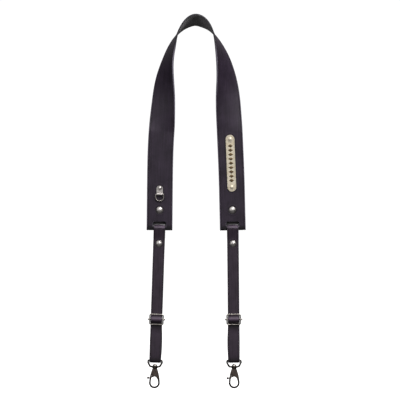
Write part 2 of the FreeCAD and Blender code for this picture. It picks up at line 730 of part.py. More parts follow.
def make_band_fittings():
    save("neck_band", neck_band())
    for name, leg in LEGS.items():
        cap, post = rivet(2 * BAND_THICK + FOLD_GAP, 5.5, 2.6, 4.6, 1.0)
        frame = band_rivet_frame(leg)
        save("band_rivet_cap_" + name, placed(cap, frame))
        save("band_rivet_post_" + name, placed(post, frame))
    save("name_plate", placed(name_plate(), plate_frame()))
    cap, post = rivet(PLATE_THICK + BAND_THICK, 3.3, 1.7, 3.6, 0.8)
    frames = plate_rivet_frames()
    save("plate_rivet_caps", *[placed(cap, frame) for frame in frames])
    save("plate_rivet_posts", *[placed(post, frame) for frame in frames])
    save("accessory_tab", accessory_tab())
    cap, post = rivet(TAB_THICK + BAND_THICK, 3.2, 1.8, 3.6, 0.8)
    save("accessory_rivet_cap", placed(cap, tab_rivet_frame()))
    save("accessory_rivet_post", placed(post, tab_rivet_frame()))
    save("accessory_ring", accessory_ring())


def make_drop(name, leg):
    frame = strap_frame(leg)
    strap_cap, strap_post = rivet(2 * LAYER_OFFSET + STRAP_THICK, 5.25, 2.6, 4.4, 1.0)
    end_cap, end_post = rivet(3.85, 4.0, 1.8, 3.6, 0.75)
    pieces = {
        "strap_top": strap_top(),
        "strap_rivet_cap": placed(strap_cap, strap_rivet_frame()),
        "strap_rivet_post": placed(strap_post, strap_rivet_frame()),
        "strap_run": strap_run(),
        "strap_weave": strap_weave(),
        "strap_end": strap_end(),
        "end_rivet_cap": placed(end_cap, end_rivet_frame()),
        "end_rivet_post": placed(end_post, end_rivet_frame()),
        "strap_front_run": strap_front_run(),
        "strap_fold": strap_fold(),
        "strap_back_run": strap_back_run(),
        "slider_frame": slider_frame(),
        "slider_pin": slider_pin(),
    }
    for node, shape in pieces.items():
        save(node + "_" + name, placed(shape, frame))


def make_hook(name, leg):
    frame = hook_frame(leg)
    pieces = {
        "hook_loop": hook_loop(),
        "swivel_stud": swivel_stud(),
        "hook_body": hook_body(),
        "hook_gate": gate(),
        "gate_pin": gate_pin(),
        "gate_spring": gate_spring(),
    }
    for node, shape in pieces.items():
        save(node + "_" + name, placed(shape, frame))


os.makedirs(PARTS_FOLDER, exist_ok=True)
make_band_fittings()
for leg_name, leg_sizes in LEGS.items():
    make_drop(leg_name, leg_sizes)
    make_hook(leg_name, leg_sizes)
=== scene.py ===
"""Leather neck strap for a saxophone: the looks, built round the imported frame.

Metres in the row's frame. +X is the viewer's right, +Y away from the viewer, +Z up.
Lengths written in millimetres are marked by MM.
"""

import json
import math

import bmesh
import bpy
import numpy as np
from mathutils import Matrix, Vector, noise

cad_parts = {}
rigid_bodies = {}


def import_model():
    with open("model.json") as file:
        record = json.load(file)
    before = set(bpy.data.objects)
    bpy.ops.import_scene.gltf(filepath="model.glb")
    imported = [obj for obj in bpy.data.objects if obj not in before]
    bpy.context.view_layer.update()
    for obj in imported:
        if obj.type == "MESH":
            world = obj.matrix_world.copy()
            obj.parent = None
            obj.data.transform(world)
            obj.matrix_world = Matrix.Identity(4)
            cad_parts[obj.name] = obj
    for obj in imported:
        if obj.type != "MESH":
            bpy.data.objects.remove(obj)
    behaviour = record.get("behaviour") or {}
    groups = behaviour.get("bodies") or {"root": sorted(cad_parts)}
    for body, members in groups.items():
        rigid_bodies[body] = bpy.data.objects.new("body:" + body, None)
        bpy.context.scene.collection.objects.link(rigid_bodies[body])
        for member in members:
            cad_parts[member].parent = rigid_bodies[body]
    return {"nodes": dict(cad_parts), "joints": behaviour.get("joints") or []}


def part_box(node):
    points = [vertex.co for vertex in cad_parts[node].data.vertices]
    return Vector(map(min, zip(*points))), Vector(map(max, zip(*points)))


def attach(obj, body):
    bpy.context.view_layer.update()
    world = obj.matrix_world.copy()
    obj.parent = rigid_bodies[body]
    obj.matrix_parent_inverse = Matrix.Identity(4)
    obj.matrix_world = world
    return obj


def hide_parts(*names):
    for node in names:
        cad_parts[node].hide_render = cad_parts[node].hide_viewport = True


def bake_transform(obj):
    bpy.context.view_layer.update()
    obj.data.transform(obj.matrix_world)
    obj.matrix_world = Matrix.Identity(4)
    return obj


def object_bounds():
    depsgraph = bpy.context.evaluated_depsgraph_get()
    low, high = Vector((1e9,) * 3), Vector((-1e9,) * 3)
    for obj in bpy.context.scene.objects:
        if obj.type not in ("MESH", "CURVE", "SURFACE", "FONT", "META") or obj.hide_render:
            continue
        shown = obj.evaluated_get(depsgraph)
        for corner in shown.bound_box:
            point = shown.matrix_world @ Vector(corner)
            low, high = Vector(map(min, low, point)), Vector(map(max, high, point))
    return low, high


for default in list(bpy.data.objects):
    bpy.data.objects.remove(default)
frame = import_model()
CAD_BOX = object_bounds()

MM = 0.001
JOINTS = {joint["name"]: joint for joint in frame["joints"]}
SIDES = ("left", "right")

# ---- Dimensions -----------------------------------------------------------------

BAND_HALF = 20.0 * MM
BAND_THICK = 2.5 * MM
BAND_CREASE = 2.4 * MM      # from the edge to the creased line along it
FOLD_GAP = 0.2 * MM         # between the band's two layers where it is folded back
FOLD_LOW = 2.5 * MM         # from the bar's centre to the lower edge of the band
TAIL_LENGTH = 46.0 * MM
FLAT_END = 60.0 * MM
SLOT_WIDTH = 20.8 * MM
SLOT_HEIGHT = 8.5 * MM
# The rear slot closes onto the strap here. The CAD's is a little larger, so that the
# stiff strap can swing in it.
REAR_SLOT_HEIGHT = 3.58 * MM
REAR_SLOT_WIDTH = 18.3 * MM

# The band's centreline from the left leg, over the crown, to the right leg: x, z in mm,
# and the turn of its section in degrees. 0 lies flat to the viewer and 90 is on edge.
BAND_ROUTE = [
    (-55.5, -206.0, 0.0),
    (-52.5, -172.0, 0.0),
    (-51.3, -152.0, 13.0),
    (-49.5, -122.0, 28.0),
    (-47.5, -90.0, 46.0),
    (-42.4, -60.0, 65.0),
    (-35.4, -37.0, 76.0),
    (-29.4, -23.0, 86.0),
    (-21.4, -11.8, 95.0),
    (-11.0, -2.8, 105.0),
    (0.0, 1.3, 110.0),
    (11.4, -2.4, 107.0),
    (22.0, -11.2, 96.0),
    (29.5, -22.2, 86.0),
    (35.8, -37.0, 74.0),
    (42.8, -60.0, 58.0),
    (48.2, -90.0, 40.0),
    (50.5, -122.0, 20.0),
    (52.0, -152.0, 8.0),
    (53.0, -172.0, 0.0),
    (53.8, -206.0, 0.0),
]
BAND_LEAN = {"left": 0.6, "right": -1.3}    # degrees
PLATE_RADIUS = 6.8 * MM

STRAP_HALF = 9.0 * MM
STRAP_THICK = 2.0 * MM
STRAP_CREASE = 1.9 * MM
STRAP_COLUMNS = 11
SKIVED_THICK = 1.8 * MM

# How the grain lies round a fitting: it is sunk under the edge, with painted shade there, and it
# swells a little further out.
RIVET_RIM = {"limit": 4.5 * MM, "sink": 0.20 * MM, "swell": 0.32 * MM, "swell_at": 1.7 * MM,
             "swell_width": 0.95 * MM, "dark": 0.75, "shade_reach": 1.1 * MM}
PLATE_RIM = {"limit": 3.5 * MM, "sink": 0.12 * MM, "swell": 0.16 * MM, "swell_at": 1.6 * MM,
             "swell_width": 0.9 * MM, "dark": 0.6, "shade_reach": 0.9 * MM}
SINK_REACH = 0.6 * MM

# ---- Camera, light and stage ------------------------------------------------------

CENTRE = Vector((0.007, 0.0, -0.278))
CAMERA_DISTANCE = 3.0
VIEW_WIDTH = 0.620          # metres across the picture, at the part
SENSOR = 36.0
FLOOR_DROP = 45 * MM        # below the CAD's low, for the sliders at their lowest
FLOOR_RADIUS = 14.0

# name, place, width and height, watts, colour, whether reflections show it
LIGHTS = [
    ("key", (0.8, -1.8, 1.5), (0.9, 0.7), 43.0, (1.0, 0.985, 0.99), True),
    ("fill", (-1.7, -1.6, 0.4), (0.5, 1.4), 5.0, (0.98, 0.98, 1.0), True),
    ("top", (0.1, 0.5, 1.5), (1.2, 0.9), 9.0, (1.0, 1.0, 1.0), True),
    ("side", (1.9, -0.8, -0.55), (0.5, 0.8), 13.0, (1.0, 1.0, 1.0), False),
]


def look_from(obj, place, target):
    obj.location = place
    obj.rotation_mode = "QUATERNION"
    obj.rotation_quaternion = (Vector(target) - Vector(place)).to_track_quat("-Z", "Y")


def make_camera():
    camera = bpy.data.objects.new("camera", bpy.data.cameras.new("camera"))
    bpy.context.scene.collection.objects.link(camera)
    camera.data.sensor_width = SENSOR
    camera.data.lens = SENSOR * CAMERA_DISTANCE / VIEW_WIDTH
    look_from(camera, CENTRE + Vector((0, -CAMERA_DISTANCE, 0)), CENTRE)
    bpy.context.scene.camera = camera


def soft_light(name, place, size, power, colour, mirrored):
    data = bpy.data.lights.new(name, "AREA")
    data.shape = "RECTANGLE"
    data.size, data.size_y = size
    data.energy = power
    data.color = colour
    lamp = bpy.data.objects.new(name, data)
    bpy.context.scene.collection.objects.link(lamp)
    look_from(lamp, place, CENTRE)
    lamp.visible_glossy = mirrored


# ---- Small helpers ----------------------------------------------------------------

def clamp(value, low=0.0, high=1.0):
    return min(high, max(low, value))


def bell(value, centre, width):
    return math.exp(-((value - centre) / width) ** 2)


def object_from(bm, name):
    """An object in the scene, from a bmesh that is then freed."""
    mesh = bpy.data.meshes.new(name)
    bm.to_mesh(mesh)
    bm.free()
    obj = bpy.data.objects.new(name, mesh)
    bpy.context.scene.collection.objects.link(obj)
    return obj


def give_materials(obj, materials):
    for material in materials:
        obj.data.materials.append(material)


def centre_and_half(node):
    low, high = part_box(node)
    return (low + high) / 2, (high - low) / 2


# ---- Node helpers -----------------------------------------------------------------

def new_tree(name):
    material = bpy.data.materials.new(name)
    material.use_nodes = True
    tree = material.node_tree
    tree.nodes.clear()
    return material, tree


def add(tree, kind, inputs=None, **settings):
    """A node with its settings, and its inputs either linked or set."""
    made = tree.nodes.new(kind)
    for key, value in settings.items():
        setattr(made, key, value)
    for key, value in (inputs or {}).items():
        if isinstance(value, bpy.types.NodeSocket):
            tree.links.new(value, made.inputs[key])
        else:
            made.inputs[key].default_value = value
    return made


def ramp(tree, factor, stops):
    """A colour ramp. Each stop is (place, colour), where the colour may be one grey value."""
    made = add(tree, "ShaderNodeValToRGB", {"Fac": factor})
    elements = made.color_ramp.elements
    while len(elements) < len(stops):
        elements.new(0.5)
    for element, (place, colour) in zip(elements, stops):
        element.position = place
        if isinstance(colour, float):
            colour = (colour, colour, colour)
        element.color = (*colour, 1.0)
    return made.outputs["Color"]


def blend_colours(tree, factor, first, second, mode="MIX"):
    made = add(tree, "ShaderNodeMix", data_type="RGBA", blend_type=mode)
    for key, value in (("Factor", factor), ("A", first), ("B", second)):
        socket = next(s for s in made.inputs
                      if s.name == key and s.type in ("VALUE", "RGBA") and s.enabled)
        if isinstance(value, bpy.types.NodeSocket):
            tree.links.new(value, socket)
        else:
            socket.default_value = value if isinstance(value, float) else (*value, 1.0)
    return next(s for s in made.outputs if s.type == "RGBA")


def maths(tree, operation, *values):
    made = add(tree, "ShaderNodeMath", operation=operation)
    for index, value in enumerate(values):
        if isinstance(value, bpy.types.NodeSocket):
            tree.links.new(value, made.inputs[index])
        else:
            made.inputs[index].default_value = value
    return made.outputs[0]


def weigh(tree, first, share, second, other_share):
    """first times its share, plus second times its own."""
    return maths(tree, "MULTIPLY_ADD", first, share, maths(tree, "MULTIPLY", second, other_share))


def noise_at(tree, where, scale, detail, rough, stretch=None):
    if stretch:
        where = add(tree, "ShaderNodeMapping", {"Vector": where, "Scale": stretch}).outputs[0]
    made = add(tree, "ShaderNodeTexNoise",
               {"Vector": where, "Scale": scale, "Detail": detail, "Roughness": rough})
    return made.outputs["Fac"]


def attribute(tree, name):
    return add(tree, "ShaderNodeAttribute", attribute_name=name).outputs["Fac"]


def darken_painted_shade(tree, colour, dark, share):
    """The leather's colour, going over to a share of its dark one where painted shade is marked.
    """
    deep = tuple(value * share for value in dark)
    return blend_colours(tree, attribute(tree, "painted_shade"), colour, deep)


def bump_normal(tree, height, strength, distance):
    inputs = {"Height": height, "Strength": strength, "Distance": distance}
    return add(tree, "ShaderNodeBump", inputs).outputs[0]


def tarnish(tree, colour, shadow, distance):
    """The metal's colour with a shadow held in its corners."""
    corner = add(tree, "ShaderNodeAmbientOcclusion", {"Distance": distance}, samples=6)
    held = ramp(tree, corner.outputs["AO"], [(0.35, 1.0), (0.85, 0.0)])
    return blend_colours(tree, held, colour, shadow)


def finish_tree(tree, inputs):
    """The shader with its inputs, and the material's output."""
    shader = add(tree, "ShaderNodeBsdfPrincipled", inputs)
    output = add(tree, "ShaderNodeOutputMaterial")
    tree.links.new(shader.outputs[0], output.inputs["Surface"])


# ---- Materials --------------------------------------------------------------------

def grain_leather(name, dark, light):
    """Satin dyed leather: fine pebbled grain, lengthwise streaks, pale patches for edge wear and
    painted highlights, and painted shade.

    The texture runs along the strap, by the UV map in metres.
    """
    material, tree = new_tree(name)
    where = add(tree, "ShaderNodeTexCoord").outputs["UV"]
    cloud = noise_at(tree, where, 38.0, 4.0, 0.55)
    streak = noise_at(tree, where, 14.0, 5.0, 0.6, (34.0, 1.6, 1.0))
    fine = noise_at(tree, where, 1500.0, 2.0, 0.6)
    colour = ramp(tree, weigh(tree, streak, 0.55, cloud, 0.5), [(0.36, dark), (0.72, light)])
    # Painted shade in creases, at fittings' edges, in folds and between layers.
    colour = darken_painted_shade(tree, colour, dark, 0.35)
    # Pale patches for worn edges, and painted highlights on the straps' bends.
    patches = ramp(tree, cloud, [(0.3, 0.25), (0.7, 1.0)])
    rub_and_highlight = maths(tree, "MULTIPLY", attribute(tree, "rub_and_highlight"), patches)
    colour = blend_colours(tree, rub_and_highlight, colour, tuple(min(1.0, value * 3.0) for value in light))
    cells = add(tree, "ShaderNodeTexVoronoi",
                {"Vector": where, "Scale": 1150.0, "Randomness": 1.0}, feature="DISTANCE_TO_EDGE")
    pebble = ramp(tree, cells.outputs["Distance"], [(0.0, 0.0), (0.28, 1.0)])
    pores = add(tree, "ShaderNodeTexVoronoi",
                {"Vector": where, "Scale": 420.0, "Randomness": 1.0})
    pore = ramp(tree, pores.outputs["Distance"], [(0.05, 0.0), (0.2, 1.0)])
    height = weigh(tree, pebble, 0.45, fine, 0.5)
    height = maths(tree, "MULTIPLY_ADD", pore, 0.25, height)
    height = maths(tree, "MULTIPLY_ADD", streak, 1.4, height)
    rough = ramp(tree, weigh(tree, fine, 0.35, cloud, 0.65), [(0.3, 0.40), (0.7, 0.60)])
    finish_tree(tree, {"Base Color": colour, "Roughness": rough, "Specular IOR Level": 0.42,
                       "Normal": bump_normal(tree, height, 0.32, 0.00012)})
    return material


def cut_edge(name, dark, light):
    """The burnished cut edge: dye rubbed thin, with fibres running along it."""
    material, tree = new_tree(name)
    where = add(tree, "ShaderNodeTexCoord").outputs["UV"]
    along = noise_at(tree, where, 60.0, 5.0, 0.65, (10.0, 3.0, 1.0))
    fibre = noise_at(tree, where, 900.0, 3.0, 0.6, (2.5, 0.6, 1.0))
    colour = ramp(tree, weigh(tree, along, 0.6, fibre, 0.4), [(0.35, dark), (0.68, light)])
    # Darker on the crown's cut edges, and painted shade inside the slots.
    colour = darken_painted_shade(tree, colour, dark, 0.15)
    rough = ramp(tree, fibre, [(0.3, 0.42), (0.7, 0.7)])
    finish_tree(tree, {"Base Color": colour, "Roughness": rough,
                       "Normal": bump_normal(tree, fibre, 0.5, 0.0001)})
    return material


def flesh_side(name, dark, light):
    """The napped flesh side: grey, matt and fibrous."""
    material, tree = new_tree(name)
    where = add(tree, "ShaderNodeTexCoord").outputs["UV"]
    cloud = noise_at(tree, where, 55.0, 5.0, 0.6)
    nap = noise_at(tree, where, 1700.0, 4.0, 0.7)
    hair = noise_at(tree, where, 420.0, 3.0, 0.7, (1.0, 0.35, 1.0))
    colour = ramp(tree, weigh(tree, nap, 0.45, cloud, 0.55), [(0.36, dark), (0.66, light)])
    # Painted shade between the band's folded layers.
    colour = darken_painted_shade(tree, colour, dark, 0.15)
    height = maths(tree, "MULTIPLY_ADD", hair, 0.8, nap)
    finish_tree(tree, {"Base Color": colour, "Roughness": 0.95, "Specular IOR Level": 0.2,
                       "Sheen Weight": 0.35, "Sheen Roughness": 0.6,
                       "Normal": bump_normal(tree, height, 0.9, 0.00022)})
    return material


METAL_RELIEF = 0.05 * MM


def plated_metal(name, bright, wear_and_highlight, shadow, rough, scratch=0.15, metallic=1.0):
    """Plated metal: uneven polish, fine scratches, and tarnish held in its corners."""
    material, tree = new_tree(name)
    where = add(tree, "ShaderNodeTexCoord").outputs["Object"]
    cloud = noise_at(tree, where, 220.0, 4.0, 0.6)
    grit = noise_at(tree, where, 2600.0, 2.0, 0.6)
    lines = noise_at(tree, where, 900.0, 3.0, 0.6, (0.35, 3.0, 3.0))
    colour = ramp(tree, cloud, [(0.34, wear_and_highlight), (0.62, bright)])
    colour = tarnish(tree, colour, shadow, 0.0022)
    polish = ramp(tree, weigh(tree, grit, 0.4, cloud, 0.6),
                  [(0.32, rough * 0.75), (0.68, min(1.0, rough * 1.45))])
    height = maths(tree, "MULTIPLY_ADD", lines, 0.7, grit)
    finish_tree(tree, {"Base Color": colour, "Metallic": metallic, "Roughness": polish,
                       "Normal": bump_normal(tree, height, scratch, METAL_RELIEF)})
    return material


def hook_metal(name, rim, web, shadow):
    """Blackened nickel, polished paler on the flat web between its rims."""
    material, tree = new_tree(name)
    coordinates = add(tree, "ShaderNodeTexCoord")
    where = coordinates.outputs["Object"]
    cloud = noise_at(tree, where, 260.0, 4.0, 0.6)
    grit = noise_at(tree, where, 2600.0, 2.0, 0.6)
    facing = add(tree, "ShaderNodeSeparateXYZ", {"Vector": coordinates.outputs["Normal"]})
    flat = ramp(tree, maths(tree, "ABSOLUTE", facing.outputs["Y"]), [(0.88, 0.0), (0.98, 1.0)])
    height = add(tree, "ShaderNodeSeparateXYZ", {"Vector": coordinates.outputs["Generated"]})
    above = ramp(tree, height.outputs["Z"], [(0.42, 0.0), (0.58, 1.0)])
    colour = blend_colours(tree, maths(tree, "MULTIPLY", flat, above), rim, web)
    colour = blend_colours(tree, ramp(tree, cloud, [(0.35, 0.55), (0.65, 0.0)]), colour, shadow)
    colour = tarnish(tree, colour, shadow, 0.002)
    polish = ramp(tree, grit, [(0.3, 0.28), (0.7, 0.46)])
    finish_tree(tree, {"Base Color": colour, "Metallic": 1.0, "Roughness": polish,
                       "Normal": bump_normal(tree, grit, 0.3, METAL_RELIEF)})
    return material


def pale_ground(name):
    """A floor near white, faintly uneven, with some light of its own."""
    material, tree = new_tree(name)
    where = add(tree, "ShaderNodeTexCoord").outputs["Object"]
    tone = ramp(tree, noise_at(tree, where, 3.0, 4.0, 0.5), [(0.3, 0.86), (0.7, 0.9)])
    finish_tree(tree, {"Base Color": tone, "Roughness": 0.9, "Specular IOR Level": 0.1,
                       "Emission Color": (1.0, 1.0, 1.0, 1.0), "Emission Strength": 0.75})
    return material


def make_stage():
    """A wide pale floor below the hooks, clear of them with the sliders at their lowest."""
    low = CAD_BOX[0].z - FLOOR_DROP
    bm = bmesh.new()
    bmesh.ops.create_circle(bm, cap_ends=True, segments=96, radius=FLOOR_RADIUS,
                            matrix=Matrix.Translation((0, 0, low)))
    floor = object_from(bm, "floor")
    give_materials(floor, [pale_ground("floor")])
    floor.visible_diffuse = False
    floor.visible_glossy = False


def make_world():
    """A pale studio: white to the camera, and for reflections dark below and at the sides."""
    world = bpy.data.worlds.new("studio")
    bpy.context.scene.world = world
    world.use_nodes = True
    tree = world.node_tree
    tree.nodes.clear()
    way = add(tree, "ShaderNodeTexCoord").outputs["Generated"]
    split = add(tree, "ShaderNodeSeparateXYZ", {"Vector": way})
    up = maths(tree, "MULTIPLY_ADD", split.outputs["Z"], 0.5, 0.5)
    tone = ramp(tree, up, [(0.0, 0.10), (0.40, 0.12), (0.50, 0.42), (0.64, 0.42), (1.0, 1.0)])
    aside = maths(tree, "ABSOLUTE", split.outputs["X"])
    darker_sides = ramp(tree, aside, [(0.3, 1.0), (0.85, 0.12)])
    tone = blend_colours(tree, 1.0, tone, darker_sides, "MULTIPLY")
    room = add(tree, "ShaderNodeBackground", {"Color": tone, "Strength": 0.8})
    white = add(tree, "ShaderNodeBackground", {"Color": (1.0, 1.0, 1.0, 1.0), "Strength": 1.05})
    seen = add(tree, "ShaderNodeLightPath").outputs["Is Camera Ray"]
    mixed = add(tree, "ShaderNodeMixShader", {0: seen, 1: room.outputs[0], 2: white.outputs[0]})
    output = add(tree, "ShaderNodeOutputWorld")
    tree.links.new(mixed.outputs[0], output.inputs["Surface"])


# ---- Strap meshes -----------------------------------------------------------------

def cubic(knots, values, at):
    """Natural cubic spline through the values at the knots. values has one row per knot."""
    knots = np.asarray(knots, float)
    values = np.asarray(values, float)
    gaps = np.diff(knots)
    count = len(knots)
    system = np.eye(count)
    right = np.zeros_like(values)
    for i in range(1, count - 1):
        system[i, i - 1:i + 2] = gaps[i - 1], 2 * (gaps[i - 1] + gaps[i]), gaps[i]
        after = (values[i + 1] - values[i]) / gaps[i]
        before = (values[i] - values[i - 1]) / gaps[i - 1]
        right[i] = 6 * (after - before)
    second = np.linalg.solve(system, right)
    at = np.asarray(at, float)
    i = np.clip(np.searchsorted(knots, at) - 1, 0, count - 2)
    gap = gaps[i][:, None]
    a = (knots[i + 1] - at)[:, None] / gap
    b = 1 - a
    bend = (a ** 3 - a) * second[i] + (b ** 3 - b) * second[i + 1]
    return a * values[i] + b * values[i + 1] + bend * gap ** 2 / 6


class Section:
    """One cross-section of a strap: its place, its directions and half its thickness."""

    def __init__(self, centre, across, grain, half_thick, along=None):
        self.centre = Vector(centre)
        self.across = Vector(across)
        self.grain = Vector(grain)
        self.half_thick = half_thick
        self.along = along


GRAIN, EDGE, FLESH = 0, 1, 2        # kinds of surface, and the order of a strap's materials


def outline(half_width, half_thick, crease, columns):
    """Points (u, n, kind, share of painted shade) round a section, from one grain edge to the
    other and back.
    """
    bead = 0.75 * MM            # radius of the rounded edge on the grain side
    back = 0.35 * MM            # and on the flesh side
    belly = 0.04 * MM           # how far the cut edge stands out between them
    # The crease's section: places across it in mm, with shares of its depth, also its shares of
    # painted shade.
    groove = [(-0.60, 0.0), (-0.32, 0.55), (0.0, 1.0), (0.32, 0.55), (0.60, 0.0)]
    depth = 0.30 * MM
    line = half_width - crease
    inner = line - 1.2 * MM
    grain = [(-half_width + bead, 0.0, 0.0)]
    grain += [(-line + step * MM, -depth * share, share) for step, share in groove]
    grain += [(float(u), 0.0, 0.0) for u in np.linspace(-inner, inner, columns)]
    grain += [(line + step * MM, -depth * share, share) for step, share in groove]
    grain += [(half_width - bead, 0.0, 0.0)]
    points = [(u, half_thick + n, GRAIN, painted_shade) for u, n, painted_shade in grain]
    edge = []
    for turn in map(math.radians, (25, 50, 75)):
        edge.append((half_width - bead + bead * math.sin(turn),
                     half_thick - bead + bead * math.cos(turn)))
    edge.append((half_width + belly, 0.0))
    for turn in map(math.radians, (75, 30)):
        edge.append((half_width - back + back * math.sin(turn),
                     -half_thick + back - back * math.cos(turn)))
    points += [(u, n, EDGE, 0.0) for u, n in edge]
    flesh = np.linspace(half_width - back, -half_width + back, 9)
    points += [(float(u), -half_thick, FLESH, 0.0) for u in flesh]
    points += [(-u, n, EDGE, 0.0) for u, n in reversed(edge)]
    return points


def strap_mesh(name, sections, half_width, crease, columns, relief, seed, wear_and_highlight=None, edge_dark_and_shade=None):
    """A strap swept through its sections, with a UV map in metres, and as attributes its edge
    wear, painted highlights and painted shade.

    At a place on the grain, relief gives the lift and the painted shade, and the next function
    the share painted pale as a highlight. The last gives the darkening of the other sides, mostly
    painted shade.
    """
    wander_by = 0.18 * MM       # how far the strap's edges stray from straight
    wave_by = 0.10 * MM         # how uneven the grain lies
    rubbed_rim = 0.9 * MM       # outside the crease
    lengths = [0.0]
    for before, after in zip(sections, sections[1:]):
        lengths.append(lengths[-1] + (after.centre - before.centre).length)
    bm = bmesh.new()
    painted_shade_layer = bm.verts.layers.float.new("painted_shade")
    rub_and_highlight_layer = bm.verts.layers.float.new("rub_and_highlight")
    uv_layer = bm.loops.layers.uv.new("UVMap")
    rings = []
    places = {}
    for section, length in zip(sections, lengths):
        ring = []
        profile = outline(half_width, section.half_thick, crease, columns)
        girth = 0.0
        last = None
        for u, n, kind, painted_shade in profile:
            wander = noise.noise(Vector((length * 9.0, seed, 0.0))) * wander_by
            place = section.centre + section.across * (u + wander) + section.grain * n
            lift = 0.0
            if kind == GRAIN:
                wave = noise.noise(Vector((u * 70.0, length * 28.0, seed))) * wave_by
                pressed, shading = relief(place)
                lift = wave + pressed
                # Painted shade: the crease darkened by 0.8 of its share, and the shade relief
                # paints round fittings and folds.
                painted_shade = max(painted_shade * 0.8, shading)
            # The other sides get the darkening of the last function, mostly painted shade.
            elif edge_dark_and_shade:
                painted_shade = max(painted_shade, edge_dark_and_shade(place, kind))
            place = place + section.grain * lift
            vert = bm.verts.new(place)
            vert[painted_shade_layer] = painted_shade
            near_edge = abs(u) - (half_width - crease)
            rub_and_highlight = 0.5 if kind == GRAIN and near_edge > rubbed_rim else 0.0
            # Painted highlights, on top of the pale wear beyond the crease.
            if wear_and_highlight and kind == GRAIN:
                rub_and_highlight = max(rub_and_highlight, wear_and_highlight(place))
            vert[rub_and_highlight_layer] = rub_and_highlight
            if last is not None:
                girth += math.hypot(u - last[0], n - last[1])
            last = (u, n)
            places[vert] = (girth, length)
            ring.append(vert)
        rings.append(ring)
    kinds = [point[2] for point in outline(half_width, sections[0].half_thick, crease, columns)]
    count = len(kinds)
    total = places[rings[0][-1]][0] + 1.0 * MM      # the girth with the last column closed
    for lower, upper in zip(rings, rings[1:]):
        for i in range(count):
            j = (i + 1) % count
            face = bm.faces.new((lower[i], lower[j], upper[j], upper[i]))
            pair = (kinds[i], kinds[j])
            face.material_index = EDGE if EDGE in pair else pair[0]
            face.smooth = True
            for loop in face.loops:
                girth, length = places[loop.vert]
                if j == 0 and loop.vert in (lower[0], upper[0]):
                    girth = total
                loop[uv_layer].uv = (girth, length)
    for ring in (rings[0], rings[-1]):
        face = bm.faces.new(ring)
        face.material_index = EDGE
        for loop in face.loops:
            girth, length = places[loop.vert]
            loop[uv_layer].uv = (girth, length)
    bmesh.ops.recalc_face_normals(bm, faces=bm.faces)
    strap = object_from(bm, name)
    strap.data.set_sharp_from_angle(angle=math.radians(50))
    return strap


def rim_at(out, limit, sink, swell, swell_at, swell_width, dark, shade_reach):
    """The grain's lift and its painted shade at a distance out from a fitting's edge."""
    if out > limit:
        return 0.0, 0.0
    under = max(0.0, out)
    lift = swell * bell(out, swell_at, swell_width) - sink * bell(under, 0.0, SINK_REACH)
    return lift, dark * bell(under, 0.0, shade_reach)


def dimple(cap, reach=1.0):
    """Leather pressed in under a rivet's cap, with painted shade at the cap's edge. reach is the
    share of the usual relief.
    """
    centre, half = centre_and_half(cap)

    def shape(place):
        out = math.hypot(place.x - centre.x, place.z - centre.z) - half.x
        lift, dark = rim_at(out, **RIVET_RIM)
        return lift * reach, dark
    return shape


def plate_edge(low, high, radius):
    """The same along a round-ended plate that runs from one point to another, in x and z."""
    start = Vector((low[0], 0, low[1]))
    run = Vector((high[0], 0, high[1])) - start

    def shape(place):
        offset = Vector((place.x, 0, place.z)) - start
        share = clamp(offset.dot(run) / run.length_squared)
        return rim_at((offset - run * share).length - radius, **PLATE_RIM)
    return shape


def summed(shapes):
    """Several shapes as one: the lifts added up, and the darkest of the painted shades."""
    def relief(place):
        found = [shape(place) for shape in shapes]
        return sum(lift for lift, dark in found), max([0.0] + [dark for lift, dark in found])
    return relief


# ---- Neck band --------------------------------------------------------------------

def band_end(side):
    """The frame at the bar of the band's folded end."""
    bar = Vector(JOINTS["strap_swing_" + side]["pos_m"])
    return Matrix.Translation(bar) @ Matrix.Rotation(math.radians(BAND_LEAN[side]), 4, "Y")


def end_sections(side):
    """Sections from the tail behind, round the fold, and up the front to the straight end."""
    at = band_end(side)
    sign = 1.0 if side == "left" else -1.0
    across = at.to_3x3() @ Vector((sign, 0, 0))
    middle_radius = (BAND_THICK + FOLD_GAP) / 2
    fold_z = -FOLD_LOW + BAND_THICK + FOLD_GAP / 2
    tail_step, front_step = 1.6 * MM, 1.4 * MM
    route = []
    for z in np.arange(TAIL_LENGTH, fold_z, -tail_step):
        route.append(((middle_radius, float(z)), (1.0, 0.0)))
    for angle in range(0, 181, 15):
        turn = math.radians(angle)
        way = (math.cos(turn), -math.sin(turn))
        route.append(((middle_radius * way[0], fold_z + middle_radius * way[1]), way))
    for z in np.arange(fold_z + front_step, FLAT_END, front_step):
        route.append(((-middle_radius, float(z)), (-1.0, 0.0)))
    made = []
    for (y, z), (ny, nz) in route:
        grain = at.to_3x3() @ Vector((0, ny, nz))
        made.append(Section(at @ Vector((0, y, z)), across, grain, BAND_THICK / 2))
    return made


def leg_sections(side, top, top_along):
    """The flat leg from the straight end to the twist, on a Hermite curve in its own plane."""
    at = band_end(side)
    sign = 1.0 if side == "left" else -1.0
    low = at @ Vector((0, 0, FLAT_END))
    low.y = 0.0
    up = at.to_3x3() @ Vector((0, 0, 1))
    span = (top - low).length
    step = 1.5 * MM
    made = []
    count = int(span / step)
    for i in range(count):
        t = i / count
        a, b, c, d = 2*t**3 - 3*t**2 + 1, t**3 - 2*t**2 + t, -2*t**3 + 3*t**2, t**3 - t**2
        place = low * a + up * (span * b) + top * c + top_along * (span * d)
        da, db, dc, dd = 6*t**2 - 6*t, 3*t**2 - 4*t + 1, -6*t**2 + 6*t, 3*t**2 - 2*t
        way = low * da + up * (span * db) + top * dc + top_along * (span * dd)
        way.normalize()
        across = Vector((way.z, 0, -way.x)) * sign
        made.append(Section(place, across, (0, -1, 0), BAND_THICK / 2))
    return made


